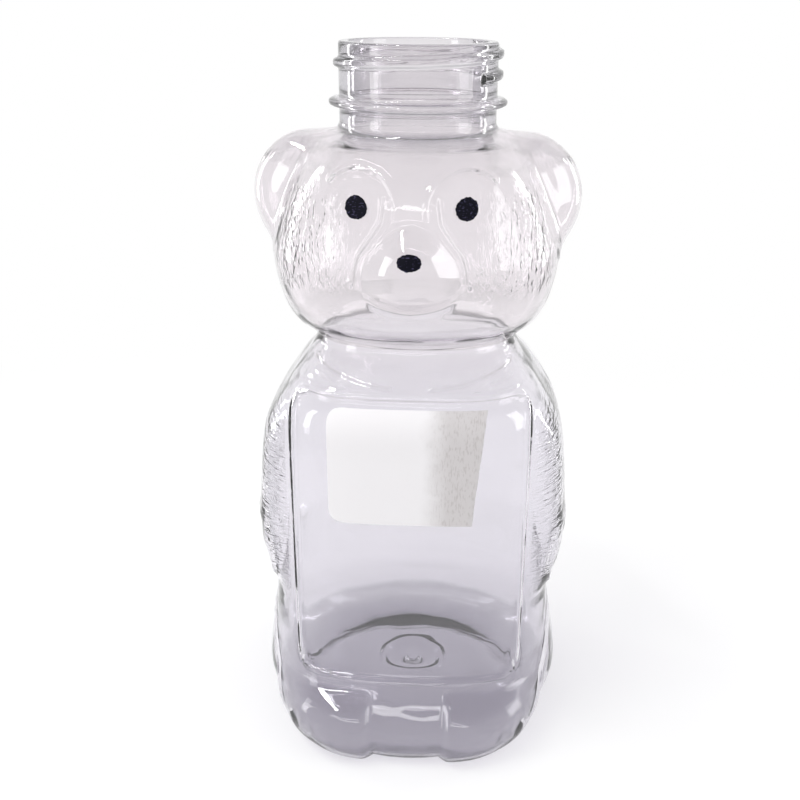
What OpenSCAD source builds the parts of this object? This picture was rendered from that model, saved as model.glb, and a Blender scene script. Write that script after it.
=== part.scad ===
// Honey bottle in the shape of a sitting bear: clear blow-moulded PET with a threaded neck,
// printed eyes and nose, and a plain paper label on its front panel.
// The base stands on z = 0, the bear faces -Y, and all sizes are in millimetres.

/* [Neck finish] */
// Height of the threaded finish, from the shoulder to the rim
finish_h = 17.5; // [15:0.5:22]
// Outside diameter of the neck wall between the threads
neck_d = 34.8; // [33:0.1:36]
// Diameter of the bore that the honey is poured through
bore_d = 30.4; // [28:0.1:31]
// Diameter over the thread
thread_d = 37.1; // [36.6:0.1:38.4]
// Rise of the thread in one turn
thread_pitch = 4.23; // [3.6:0.01:4.4]
// Width of the thread at its root
thread_w = 2.6; // [2:0.1:3]
// Length of the thread, in turns
thread_turns = 1.22; // [1:0.02:1.3]
// Drop from the rim to the middle of the thread at its upper end
thread_drop = 1.9; // [1.6:0.1:2.4]
// Diameter of the bead that the bottle is carried by
bead_d = 39.4; // [38.6:0.1:41]
// Thickness of the bead
bead_h = 2.2; // [1.8:0.1:2.6]
// Drop from the rim to the middle of the bead
bead_drop = 12.4; // [12:0.1:13]

/* [Blown shell] */
// Thickness of the blown wall
wall = 0.7; // [0.5:0.05:1.1]
// Height of the torso, from the table to the crease under the chin
torso_h = 99.5; // [96:0.5:106]
// Height of the head, from the crease to the shoulder of the neck
head_h = 47.5; // [45:0.5:52]
// Width of the crease between head and torso
crease_w = 46; // [43:0.2:50]
// Depth of the crease between head and torso, front to back
crease_d = 34; // [31:0.5:42]

/* [Head] */
// Width of the head over the cheeks
cheek_w = 66; // [63:0.5:70]
// Reach of the face in front of the neck axis
face_reach = 31; // [29:0.5:33]
// Reach of the back of the head behind the neck axis
nape_reach = 30; // [28:0.5:32]
// Reach of an ear sideways from the neck axis
ear_reach = 37.2; // [35.5:0.1:39]
// Height of an ear
ear_h = 28.5; // [25:0.5:30]
// Thickness of an ear, front to back
ear_t = 17; // [14:0.5:20]
// Height of the middle of the ears above the crease
ear_z = 32.4; // [30:0.1:34]

/* [Face] */
// Width of the muzzle
muzzle_w = 27; // [22:0.5:30]
// Height of the muzzle
muzzle_h = 19; // [16:0.5:22]
// How far the muzzle stands out from the face
muzzle_out = 4.6; // [3:0.1:6.5]
// Height of the middle of the muzzle above the crease
muzzle_z = 22; // [20:0.5:24]
// Distance from eye to eye
eye_gap = 22.6; // [20:0.2:25]
// Height of the eyes above the crease
eye_z = 34.3; // [32.5:0.1:36]
// Diameter of a printed eye
eye_d = 4.6; // [3.6:0.1:5.4]
// Diameter of the hollow round an eye
socket_d = 13; // [10:0.5:15]
// Depth of the hollow round an eye
socket_depth = 0.9; // [0.4:0.1:1.4]
// Width of the printed nose
nose_w = 5; // [4:0.1:6]
// Height of the printed nose
nose_h = 3.2; // [2.6:0.1:4]
// Height of the printed nose above the crease
nose_z = 24.9; // [23:0.1:27]
// Thickness of the printed ink
ink_t = 0.2; // [0.1:0.05:0.3]

/* [Torso] */
// Width of the torso at the waist, between arms and legs
waist_w = 69.4; // [66:0.2:72]
// Reach of the front panel from the neck axis
belly_reach = 31.6; // [30:0.2:33]
// Reach of the back panel from the neck axis
back_reach = 31.2; // [29:0.2:32]
// How far an arm stands out from the torso
arm_out = 3.4; // [2.5:0.1:5]
// Height of the paw's end above the table
paw_z = 39; // [35:0.5:42]
// Length over which the paw rounds off at its end
paw_h = 14; // [8:0.5:16]
// Drop from the crease to the arm's upper end
arm_drop = 9.5; // [7.5:0.5:13.5]
// Width over the legs
leg_w = 76.4; // [72:0.2:80]
// Reach of the lap between the feet
lap_reach = 40.4; // [37:0.2:42]
// Reach of the rump behind the neck axis
rump_reach = 35; // [33:0.2:38]
// How far a foot stands out from the lap
foot_out = 4.2; // [2:0.1:5]
// Distance from the middle of one foot to the middle of the other
foot_gap = 38.8; // [35:0.2:42]
// Width of a foot
foot_w = 22; // [18:0.5:24]
// Radius of a foot's upper corners
foot_r = 4; // [2:0.5:6]
// Height of a foot
foot_h = 17.5; // [15:0.5:18.5]

/* [Label panels] */
// Width of the recessed panel
panel_w = 53.4; // [50:0.2:54]
// Height of the panel's lower edge above the table
panel_z = 20.4; // [20:0.2:23]
// Drop from the crease to the panel's upper edge
panel_drop = 7.5; // [5.5:0.5:13]
// Depth of the panel's recess
panel_depth = 0.7; // [0.4:0.05:1]
// Width of the step at the panel's edge
panel_step = 1.2; // [0.8:0.1:1.6]
// Radius of the panel's corners
panel_r = 4; // [2:0.5:6]

/* [Base] */
// Radius between the wall and the base
base_r = 6; // [4:0.5:7]
// Half length of the hollow under the base, sideways
push_w = 29; // [25:0.5:30]
// Half length of the hollow under the base, front to back
push_d = 19; // [16:0.5:22]
// Rise of the hollow under the base
push_up = 4.2; // [2.5:0.1:6]
// Radius of the ring round the middle of the base
ring_r = 8; // [6:0.5:10]
// Height of the ring round the middle of the base
ring_h = 0.8; // [0.4:0.1:1.2]

/* [Paper label] */
// Width of the label
label_w = 35.4; // [28:0.2:42]
// Height of the label
label_h = 27.6; // [20:0.2:34]
// Drop from the panel's upper edge to the label's middle
label_drop = 15.6; // [15:0.2:22]
// Distance of the label's middle from the panel's middle line
label_x = -0.6; // [-3:0.2:3]
// Radius of the two rounded corners
label_r = 3.2; // [1:0.2:5]
// How much narrower the torn side leaves the lower edge
label_slant = 2.6; // [0:0.2:4]
// Thickness of the paper
paper_t = 0.16; // [0.1:0.02:0.24]
// Thickness of the adhesive under the paper
glue_t = 0.08; // [0.04:0.02:0.12]

/* [Hidden] */
$fn = 96;
pet = [0.86, 0.85, 0.88, 0.45];
print_black = [0.06, 0.06, 0.12];
paper_white = [0.95, 0.93, 0.94];
glue_grey = [0.80, 0.79, 0.78];

glue_gap = 0.06;       // clearance of the adhesive over the panel
paper_gap = 0.02;      // clearance of the paper over the adhesive
ink_gap = 0.16;        // clearance of the ink over the coarser facets of the wall
edge_cut = 0.3;        // how much of the rounded lower edge the flat base cuts off
slope_step = 0.8;      // height over which the wall's slope is taken
slope_turn = 1.5;      // angle over which the wall's slope is taken
ink_step = 0.1;        // step over which the face's slope is taken under the ink
bead_edge = 0.8;       // thickness of the bead at its outer edge
rim_round = 0.6;       // rounding of the rim
root_out = 0.9;        // how far the root ring stands out from the neck wall
root_h = 0.9;          // height of the root ring, which stands on the shell's upper edge
thread_bite = 0.4;     // how far the thread is sunk into the neck wall
crest_share = 0.42;    // width of the thread's crest, as a share of its root
thread_taper = 14;     // angle over which each end of the thread fades out
thread_start = -38;    // where the lower end of the thread lies, from +X
thread_pace = 10;      // angle between two sections of the thread
push_edge = 0.62;      // share of the hollow under the base where its side levels out
arm_fade = 10;         // height over which the arm comes out of the shoulder
arm_lead = 8;          // drop from the arm's upper end to the start of its long slope
arm_share = 0.55;      // share of the short slope in the arm's upper end
arm_flat = 27;         // angle from the side within which the arm stands out fully
arm_edge = 43;         // angle from the side at which the arm ends

shoulder_z = torso_h + head_h;
bottle_h = shoulder_z + finish_h;
neck_r = neck_d / 2;
bore_r = bore_d / 2;
root_r = neck_r + root_out;
root_z = shoulder_z - root_h;
panel_top = torso_h - panel_drop;
panel_h = panel_top - panel_z;
panel_mid = panel_z + panel_h / 2;
label_z = panel_top - label_drop;          // height of the label's middle
arm_top_z = torso_h - arm_drop;
ear_r = ear_h / 2;
ear_root = ear_reach - ear_r;              // middle of the ear's ellipsoid, from the neck axis

function clamp(x) = max(0, min(1, x));
function mix(a, b, t) = a + (b - a) * t;
// Smooth step from 0 at a to 1 at b
function ease(a, b, x) = let (t = clamp((x - a) / (b - a))) t * t * (3 - 2 * t);
// Rounded step that leaves 0 at a steeply and levels out to 1 at b
function rise(a, b, x) = sin(90 * clamp((x - a) / (b - a)));
// Round swelling, 1 in the middle and 0 at a distance of 1
function swell(d) = d >= 1 ? 0 : (1 - d * d) ^ 1.3;
// Larger of two radii, with the corner between them rounded by k
function rounded_max(a, b, k) = (a + b + sqrt((a - b) ^ 2 + k * k)) / 2;
// Distance outside a rounded rectangle, negative inside it
function outside_box(x, z, hw, hh, r) =
    let (qx = abs(x) - hw + r, qz = abs(z) - hh + r)
    norm([max(qx, 0), max(qz, 0)]) + min(max(qx, qz), 0) - r;
// n values from a up to just before b
function steps(a, b, n) = [for (i = [0 : n - 1]) mix(a, b, i / n)];

// Sections of the bear, upwards: [height, half width, reach in front, reach behind, squareness].
// A squareness of 2 is an ellipse.
function torso_key(z, w, d, n) = [
    z * torso_h,
    mix(waist_w, crease_w, w) / 2,
    mix(belly_reach, crease_d / 2, d),
    mix(back_reach, crease_d / 2, d),
    n
];
function jaw_key(z, w, d, n) = [
    torso_h + z * head_h,
    mix(crease_w, cheek_w, w) / 2,
    mix(crease_d / 2, face_reach, d),
    mix(crease_d / 2, nape_reach, d),
    n
];
function crown_key(z, w, d) = [
    torso_h + z * head_h,
    mix(root_r, cheek_w / 2, w),
    mix(root_r, face_reach, d),
    mix(root_r, nape_reach, d),
    2.1
];
TORSO = [
    [0, leg_w * 0.42, lap_reach, rump_reach, 2.15],
    [foot_h / 3, leg_w * 0.475, lap_reach, rump_reach, 2.2],
    [foot_h * 0.6, leg_w / 2, mix(belly_reach, lap_reach, 0.9), mix(back_reach, rump_reach, 0.9), 2.3],
    [panel_z * 0.8, mix(waist_w, leg_w, 0.9) / 2, mix(belly_reach, lap_reach, 0.4),
        mix(back_reach, rump_reach, 0.3), 2.6],
    [panel_z * 1.15, mix(waist_w, leg_w, 0.5) / 2, belly_reach, back_reach, 3],
    [paw_z * 0.94, waist_w / 2, belly_reach, back_reach, 3.4],
    torso_key(0.62, 0, 0, 3.4),
    torso_key(0.78, 0.04, 0, 3.5),
    torso_key(0.87, 0.28, 0.02, 3.8),
    torso_key(0.92, 0.52, 0.19, 3.5),
    torso_key(0.96, 0.78, 0.55, 2.9),
    torso_key(1, 1, 1, 2.3)
];
HEAD = [
    jaw_key(0, 0, 0, 2.2),
    jaw_key(0.05, 0.3, 0.12, 2.2),
    jaw_key(0.1, 0.53, 0.53, 2.15),
    jaw_key(0.16, 0.72, 0.76, 2.1),
    jaw_key(0.24, 0.86, 0.9, 2.1),
    jaw_key(0.34, 0.96, 0.97, 2.15),
    jaw_key(0.42, 1, 1, 2.15),
    crown_key(0.54, 0.945, 0.985),
    crown_key(0.67, 0.815, 0.935),
    crown_key(0.8, 0.63, 0.78),
    crown_key(0.9, 0.42, 0.54),
    crown_key(0.965, 0.19, 0.24),
    [root_z, root_r, root_r, root_r, 2]
];

function span(keys, z, i = 0) =
    i >= len(keys) - 2 || z < keys[i + 1][0] ? i : span(keys, z, i + 1);
function tangent(keys, i) =
    let (a = max(i - 1, 0), b = min(i + 1, len(keys) - 1))
    (keys[b] - keys[a]) / (keys[b][0] - keys[a][0]);
// Section at a height, on a smooth curve through the keys
function section(keys, z) =
    let (
        i = span(keys, z),
        h = keys[i + 1][0] - keys[i][0],
        t = clamp((z - keys[i][0]) / h),
        u = 1 - t
    )
    u * u * (1 + 2 * t) * keys[i] + t * t * (1 + 2 * u) * keys[i + 1]
    + t * u * h * (u * tangent(keys, i) - t * tangent(keys, i + 1));
function bear_section(z) = section(z < torso_h ? TORSO : HEAD, z);

// Radius of a superellipse with half axes a and b in the direction th
function oval(a, b, n, th) = (abs(cos(th) / a) ^ n + abs(sin(th) / b) ^ n) ^ (-1 / n);

// Radius to the outside of an ear, an ellipsoid on the head's side. th is 0 at +X, -90 at the face.
function ear_surface(th, z) =
    let (
        c = abs(cos(th)) / ear_r,
        s = sin(th) / (ear_t / 2),
        k = 1 - ((z - torso_h - ear_z) / ear_r) ^ 2,
        m = ear_root / ear_r,
        a = c * c + s * s,
        d = c * c * m * m - a * (m * m - k)
    )
    k <= 0 || d <= 0 ? 0 : (c * m + sqrt(d)) / a;

// Arm on the torso's side, which ends below in a paw
function arm_relief(th, z) =
    let (
        off = asin(abs(sin(th))),
        top = mix(ease(arm_top_z - arm_lead, paw_z + paw_h, z), ease(arm_top_z, arm_top_z - arm_fade, z),
            arm_share)
    )
    arm_out * top * rise(paw_z, paw_z + paw_h, z) * rise(arm_edge, arm_flat, off);

// Foot at the front of the lap, a pad with rounded upper corners
function foot_relief(x, z) =
    foot_out * rise(0, -foot_w / 4, outside_box(abs(x) - foot_gap / 2, z, foot_w / 2, foot_h, foot_r));

// Recess of the label panel, with rounded corners
function panel_relief(x, z) =
    -panel_depth * ease(panel_step / 2, -panel_step / 2,
        outside_box(x, z - panel_mid, panel_w / 2, panel_h / 2, panel_r));

// Muzzle, which widens towards the mouth
function muzzle_relief(x, z) =
    let (
        v = (z - torso_h - muzzle_z) / (muzzle_h / 2),
        half = muzzle_w / 2 * (0.8 - 0.22 * max(-1, min(1, v)))
    )
    muzzle_out * swell(norm([x / half, v]));

// Hollow round an eye
function socket_relief(x, z) =
    -socket_depth * swell(norm([abs(x) - eye_gap / 2, z - torso_h - eye_z]) / (socket_d / 2));

// How far the rounded edge above the base draws the wall in
function edge_inset(z) =
    let (h = z + edge_cut)
    h >= base_r ? 0 : base_r - sqrt(max(0, base_r ^ 2 - (base_r - h) ^ 2));

// Outside radius of the bear in the direction th at the height z
function body_r(th, z) =
    let (
        s = bear_section(z),
        front = sin(th) < 0,
        r = oval(s[1], front ? s[2] : s[3], s[4], th),
        x = r * cos(th)
    )
    z < torso_h
        ? r + arm_relief(th, z) + panel_relief(x, z) + (front ? foot_relief(x, z) : 0) - edge_inset(z)
        : rounded_max(
            r + (front ? muzzle_relief(x, z) + socket_relief(x, z) : 0),
            ear_surface(th, z), 1.2);
function side(th, z) = let (r = body_r(th, z)) [r * cos(th), r * sin(th), z];
// Unit normal of the side wall, pointing outwards
function side_normal(th, z) =
    let (
        u = side(th + slope_turn, z) - side(th - slope_turn, z),
        v = side(th, z + slope_step) - side(th, max(0, z - slope_step)),
        n = cross(u, v)
    )
    n / norm(n);

// The lines that run up the wall. Those at the panel's and the feet's edges keep their x.
EDGE_ANGLES = [44.5, 46.5, 67, 72];
EDGE_X = [(panel_w + panel_step) / 2, (panel_w - panel_step) / 2, (foot_gap - foot_w * 0.75) / 2,
    (foot_gap - foot_w) / 2];
LINE_ANGLES = concat([0, 6, 12, 19, 27, 36], [EDGE_ANGLES[0], EDGE_ANGLES[1], 53, 60],
    [EDGE_ANGLES[2], EDGE_ANGLES[3], 78, 84, 90]);
quarter = len(LINE_ANGLES) - 1;
LINES = concat(
    [for (i = [quarter : -1 : 1]) [1, -1, LINE_ANGLES[i]]],
    [for (i = [0 : quarter - 1]) [1, 1, LINE_ANGLES[i]]],
    [for (i = [quarter : -1 : 1]) [-1, 1, LINE_ANGLES[i]]],
    [for (i = [0 : quarter - 1]) [-1, -1, LINE_ANGLES[i]]]
);
// Direction of a line at the height z. On the head the lines fan out evenly.
function line_angle(ln, z) =
    let (
        s = bear_section(z),
        b = ln[1] < 0 ? s[2] : s[3],
        own = [for (x = EDGE_X)
            let (w = min(x, 0.95 * s[1])) atan2(b * (1 - (w / s[1]) ^ s[4]) ^ (1 / s[4]), w)],
        table = concat([[0, 0]], [for (i = [0 : 3]) [EDGE_ANGLES[i], own[i]]], [[90, 90]]),
        t = mix(lookup(ln[2], table), ln[2], ease(panel_top + panel_step, torso_h + head_h / 10, z))
    )
    atan2(ln[1] * sin(t), ln[0] * cos(t));

// Heights of the rings of the wall above its rounded lower edge, upwards
WALL_Z = concat(
    steps(base_r, foot_h, 3),
    [foot_h, panel_z - panel_step / 2, panel_z + panel_step / 2, panel_z + panel_r * 0.6],
    steps(panel_z + panel_r, paw_z, 2),
    [for (k = [0, 0.1, 0.28, 0.58]) paw_z + k * paw_h],
    steps(paw_z + paw_h, panel_top - 3 * panel_r, 4),
    steps(panel_top - 3 * panel_r, panel_top - panel_r, 2),
    [panel_top - panel_r, panel_top - panel_r / 2, panel_top - panel_step / 2],
    steps(panel_top + panel_step / 2, torso_h, 3),
    steps(torso_h, torso_h + 0.2 * head_h, 4),
    steps(torso_h + 0.2 * head_h, torso_h + 0.9 * head_h, 11),
    [for (k = [0.9, 0.935, 0.965]) torso_h + k * head_h]
);
OUTER_Z = concat([for (k = [0, 0.1, 0.3, 0.6]) k * base_r], WALL_Z);
INNER_Z = concat([for (k = [0.1, 0.45]) k * base_r], WALL_Z);

// Outside and inside of the blown wall on a line, at the height z
function outer_point(ln, z) = side(line_angle(ln, z), z);
function inner_point(ln, z) =
    let (a = line_angle(ln, z))
    side(a, z) - wall * side_normal(a, z);
// Point of the hollow base on a line, a share q of the way out to the hollow's edge
function hollow_point(ln, q, up) =
    let (
        a = line_angle(ln, 0),
        r = q * oval(push_w, push_d, 2.2, a)
    )
    [r * cos(a), r * sin(a), push_up * rise(1, push_edge, q) + up];
// Point on the ring round the middle of the base
function ring_point(ln, r, h, up) =
    let (a = line_angle(ln, 0)) [r * cos(a), r * sin(a), push_up + h + up];
// Point of the shell's flat upper edge, which the neck's root ring stands on
function root_point(ln, r, z) = let (a = line_angle(ln, z)) [r * cos(a), r * sin(a), z];

RING_PROFILE = [[ring_r - ring_h * 1.6, 0], [ring_r - ring_h * 0.5, ring_h],
    [ring_r + ring_h * 0.5, ring_h], [ring_r + ring_h * 1.6, 0]];
outer_rings = concat(
    [for (p = RING_PROFILE) [for (ln = LINES) ring_point(ln, p[0], p[1], 0)]],
    [for (q = [0.68, 0.86, 1.0]) [for (ln = LINES) hollow_point(ln, q, 0)]],
    [for (z = OUTER_Z) [for (ln = LINES) outer_point(ln, z)]],
    [[for (ln = LINES) root_point(ln, root_r, root_z)]]
);
inner_rings = concat(
    [for (z = [root_z, root_z - wall]) [for (ln = LINES) root_point(ln, bore_r, z)]],
    [for (i = [len(INNER_Z) - 1 : -1 : 0]) [for (ln = LINES) inner_point(ln, INNER_Z[i])]],
    [for (q = [1.05, 0.85]) [for (ln = LINES) hollow_point(ln, q, wall)]],
    [[for (ln = LINES) ring_point(ln, ring_r, 0, wall)]]
);

// Closed skin over rows of points that all run the same way round, with a tip at each end.
// Its facets are alike on the left and on the right half, and on both sides of the row at turn.
module skin(tip_1, rows, tip_2, turn = 1e6) {
    n = len(rows[0]);
    m = len(rows);
    function at(i, j) = 1 + i * n + j % n;
    polyhedron(
        points = concat([tip_1], [for (r = rows) each r], [tip_2]),
        faces = concat(
            [for (j = [0 : n - 1]) [0, at(0, j), at(0, j + 1)]],
            [for (i = [0 : m - 2]) for (j = [0 : n - 1]) each (j < n / 2) != (i >= turn)
                ? [[at(i, j), at(i + 1, j), at(i + 1, j + 1)], [at(i, j), at(i + 1, j + 1), at(i, j + 1)]]
                : [[at(i, j), at(i + 1, j), at(i, j + 1)], [at(i + 1, j), at(i + 1, j + 1), at(i, j + 1)]]],
            [for (j = [0 : n - 1]) [at(m - 1, j), m * n + 1, at(m - 1, j + 1)]]
        ),
        convexity = 6
    );
}

// Neck wall with bore, root ring, bead and rounded rim
module neck_wall() {
    bead_z = bottle_h - bead_drop;
    rotate_extrude()
        polygon(concat(
            [[bore_r, root_z], [root_r, root_z], [root_r, shoulder_z],
                [neck_r, shoulder_z + root_out]],
            [[neck_r, bead_z - bead_h / 2], [bead_d / 2, bead_z - bead_edge / 2],
                [bead_d / 2, bead_z + bead_edge / 2], [neck_r, bead_z + bead_h / 2]],
            [for (a = [0 : 22.5 : 90])
                [neck_r - rim_round * (1 - cos(a)), bottle_h - rim_round * (1 - sin(a))]],
            [[bore_r, bottle_h]]
        ));
}

// Right-hand thread, which starts bluntly and climbs once round the neck and a little more
module thread() {
    sweep = 360 * thread_turns;
    n = round(sweep / thread_pace);
    top_z = bottle_h - thread_drop;
    function section_at(i) =
        let (
            a = thread_start + sweep * i / n,
            z = top_z - thread_pitch * thread_turns * (1 - i / n),
            fade = min(rise(0, thread_taper, sweep * i / n), rise(sweep, sweep - thread_taper, sweep * i / n)),
            out = neck_r + (thread_d - neck_d) / 2 * mix(0.25, 1, fade),
            root = neck_r - thread_bite
        )
        [for (p = [[root, -0.5], [out, -crest_share / 2], [out, crest_share / 2], [root, 0.5]])
            [p[0] * cos(a), p[0] * sin(a), z + p[1] * thread_w]];
    polyhedron(
        points = [for (i = [0 : n]) each section_at(i)],
        faces = concat(
            [[3, 2, 1, 0], [4 * n, 4 * n + 1, 4 * n + 2, 4 * n + 3]],
            [for (i = [0 : n - 1]) for (k = [0 : 3])
                let (a = 4 * i + k, b = 4 * i + (k + 1) % 4)
                each [[a, b, b + 4], [a, b + 4, a + 4]]]
        ),
        convexity = 8
    );
}

// Depth of the bear's front in the direction of its face, at x and z
function front_y(x, z, k = 7) =
    let (
        y = k == 0 ? -face_reach : front_y(x, z, k - 1),
        r = body_r(atan2(y, x), z)
    )
    -sqrt(max(0, r * r - x * x));
// Point at a height over the bear's front
function front_point(x, z, over) =
    let (
        fx = (front_y(x + ink_step, z) - front_y(x - ink_step, z)) / (2 * ink_step),
        fz = (front_y(x, z + ink_step) - front_y(x, z - ink_step)) / (2 * ink_step)
    )
    [x, front_y(x, z), z] + over * [fx, -1, fz] / norm([fx, -1, fz]);

// Spot of ink printed on the face
module ink_spot(x, z, w, h) {
    around = [for (a = [0 : 18 : 342]) [cos(a) * w / 2, sin(a) * h / 2]];
    function spot_ring(k, over) = [for (p = around) front_point(x + k * p[0], z + k * p[1], over)];
    skin(
        front_point(x, z, ink_gap),
        [spot_ring(0.6, ink_gap), spot_ring(1, ink_gap), spot_ring(1, ink_gap + ink_t),
            spot_ring(0.6, ink_gap + ink_t)],
        front_point(x, z, ink_gap + ink_t)
    );
}

// Sheet over the front panel between two heights over it. Its left corners are round and its
// right side slants, as it was torn from its roll.
module label_sheet(from, to) {
    low = label_z - label_h / 2;
    levels = concat(
        [for (a = [0, 30, 60]) low + label_r * (1 - cos(a))],
        steps(low + label_r, low + label_h - label_r, 7),
        [for (a = [90, 60, 30, 0]) low + label_h - label_r * (1 - cos(a))]
    );
    function left_x(z) =
        let (h = max(0, label_r - (z - low), label_r - (low + label_h - z)))
        label_x - label_w / 2 + label_r - sqrt(max(0, label_r ^ 2 - h ^ 2));
    function right_x(z) = label_x + label_w / 2 - label_slant * (1 - (z - low) / label_h);
    columns = 12;
    rows = len(levels);
    function sheet(over) = [for (z = levels) for (i = [0 : columns])
        front_point(mix(left_x(z), right_x(z), i / columns), z, over)];
    w = columns + 1;
    back = rows * w;
    edge = concat(
        [for (i = [0 : columns - 1]) i],
        [for (j = [0 : rows - 2]) j * w + columns],
        [for (i = [columns : -1 : 1]) (rows - 1) * w + i],
        [for (j = [rows - 1 : -1 : 1]) j * w]
    );
    polyhedron(
        points = concat(sheet(to), sheet(from)),
        faces = concat(
            [for (j = [0 : rows - 2]) for (i = [0 : columns - 1])
                let (a = j * w + i)
                each [[a, a + w, a + w + 1], [a, a + w + 1, a + 1],
                    [back + a, back + a + w + 1, back + a + w], [back + a, back + a + 1, back + a + w + 1]]],
            [for (k = [0 : len(edge) - 1])
                let (a = edge[k], b = edge[(k + 1) % len(edge)])
                each [[a, b, back + b], [a, back + b, back + a]]]
        ),
        convexity = 4
    );
}

toe_reach = max([for (a = [-90 : 2 : -50]) -side(a, foot_h / 3)[1]]);
rump_y = max([for (a = [60 : 5 : 90]) side(a, foot_h / 3)[1]]);
// The neck axis stands behind the middle of the base, because the feet reach further than the rump
axis_y = (toe_reach - rump_y) / 2;

module on_axis() translate([0, axis_y, 0]) children();

module shell() color(pet) on_axis()
    skin([0, 0, push_up], concat(outer_rings, inner_rings), [0, 0, push_up + wall], len(outer_rings));
module neck_finish() color(pet) on_axis() {
    neck_wall();
    thread();
}
module left_eye() color(print_black) on_axis()
    ink_spot(eye_gap / 2, torso_h + eye_z, eye_d, eye_d);
module right_eye() color(print_black) on_axis()
    ink_spot(-eye_gap / 2, torso_h + eye_z, eye_d, eye_d);
module nose() color(print_black) on_axis()
    ink_spot(0, torso_h + nose_z, nose_w, nose_h);
module label_adhesive() color(glue_grey) on_axis()
    label_sheet(glue_gap, glue_gap + glue_t);
module paper_label() color(paper_white) on_axis()
    label_sheet(glue_gap + glue_t + paper_gap, glue_gap + glue_t + paper_gap + paper_t);

shell();
neck_finish();
left_eye();
right_eye();
nose();
paper_label();
label_adhesive();
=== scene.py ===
import math

import bpy
import numpy as np
from mathutils import Matrix, Vector


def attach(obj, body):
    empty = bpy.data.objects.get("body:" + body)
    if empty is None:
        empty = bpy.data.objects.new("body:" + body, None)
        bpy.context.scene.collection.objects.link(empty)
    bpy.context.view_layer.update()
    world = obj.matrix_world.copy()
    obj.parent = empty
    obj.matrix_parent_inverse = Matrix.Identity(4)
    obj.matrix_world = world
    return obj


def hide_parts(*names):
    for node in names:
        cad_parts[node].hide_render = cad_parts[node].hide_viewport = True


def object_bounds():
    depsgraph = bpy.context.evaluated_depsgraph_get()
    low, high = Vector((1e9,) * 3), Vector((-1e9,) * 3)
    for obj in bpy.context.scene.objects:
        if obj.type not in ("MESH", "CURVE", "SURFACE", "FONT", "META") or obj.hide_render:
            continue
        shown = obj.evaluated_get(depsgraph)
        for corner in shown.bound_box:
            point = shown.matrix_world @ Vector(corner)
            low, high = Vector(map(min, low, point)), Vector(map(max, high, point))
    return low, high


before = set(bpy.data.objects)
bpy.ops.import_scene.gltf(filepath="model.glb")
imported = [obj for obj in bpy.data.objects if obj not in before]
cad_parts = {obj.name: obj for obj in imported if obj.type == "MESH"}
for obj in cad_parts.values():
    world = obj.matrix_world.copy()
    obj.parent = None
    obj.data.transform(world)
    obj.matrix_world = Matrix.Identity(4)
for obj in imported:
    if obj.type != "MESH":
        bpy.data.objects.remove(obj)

cad_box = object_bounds()

# ---------------------------------------------------------------------------------------------
# Bottle wall: a preform of clear PET, blown into a mould in the shape of a sitting bear. Shell
# and neck are one skin about 0.7 mm thick, so it is drawn as one closed surface: hollow base,
# wall, neck with bead and thread, rim, bore, and the inside back down to the base.
MM = 0.001
WALL = 0.7
TORSO_H, HEAD_H, FINISH_H = 99.5, 47.5, 17.5
SHOULDER_Z = TORSO_H + HEAD_H
RIM_Z = SHOULDER_Z + FINISH_H
NECK_R, BORE_R, ROOT_OUT, ROOT_H = 17.4, 15.2, 0.9, 0.9
ROOT_R, ROOT_Z = NECK_R + ROOT_OUT, SHOULDER_Z - ROOT_H
AXIS_Y = 3.637                             # the neck axis stands behind the middle of the base
CREASE_W, CREASE_D, CHEEK_W, FACE, NAPE = 46, 34, 66, 31, 30
WAIST_W, BELLY, BACK, LEG_W, LAP, RUMP = 69.4, 31.6, 31.2, 76.4, 40.4, 35
EAR_REACH, EAR_R, EAR_T, EAR_Z = 37.2, 14.25, 17, TORSO_H + 32.4
MUZZLE_W, MUZZLE_H, MUZZLE_OUT, MUZZLE_Z = 27, 19, 4.6, TORSO_H + 22
EYE_X, EYE_Z, SOCKET_D, SOCKET_DEPTH = 11.3, TORSO_H + 34.3, 13, 0.9
ARM_OUT, ARM_TOP, PAW_Z, PAW_H = 3.4, 90, 39, 14
FOOT_X, FOOT_IN, FOOT_H, FOOT_OUT = 19.4, 8.4, 17.5, 4.2
PANEL_W, PANEL_Z, PANEL_H, PANEL_R, PANEL_DEPTH, PANEL_STEP = 53.4, 20.4, 71.6, 4, 0.7, 1.2
PANEL_TOP, PANEL_MID = PANEL_Z + PANEL_H, PANEL_Z + PANEL_H / 2
BASE_R, EDGE_CUT = 6, 0.3
PUSH_W, PUSH_D, PUSH_UP, PUSH_EDGE, RING_R, RING_H = 29, 19, 4.2, 0.62, 8, 0.8


def mix(a, b, t):
    return a + (b - a) * t


def ease(a, b, x):
    t = np.clip((x - a) / (b - a), 0, 1)
    return t * t * (3 - 2 * t)


def rise(a, b, x):
    return np.sin(np.pi / 2 * np.clip((x - a) / (b - a), 0, 1))


def swell(d):
    return np.clip(1 - d * d, 0, 1) ** 1.3


def torso_key(z, w, d, n):
    return (z * TORSO_H, mix(WAIST_W, CREASE_W, w) / 2, mix(BELLY, CREASE_D / 2, d), mix(BACK, CREASE_D / 2, d), n)


def jaw_key(z, w, d, n):
    return (TORSO_H + z * HEAD_H, mix(CREASE_W, CHEEK_W, w) / 2, mix(CREASE_D / 2, FACE, d),
            mix(CREASE_D / 2, NAPE, d), n)


def crown_key(z, w, d):
    return (TORSO_H + z * HEAD_H, mix(ROOT_R, CHEEK_W / 2, w), mix(ROOT_R, FACE, d), mix(ROOT_R, NAPE, d), 2.1)


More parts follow.
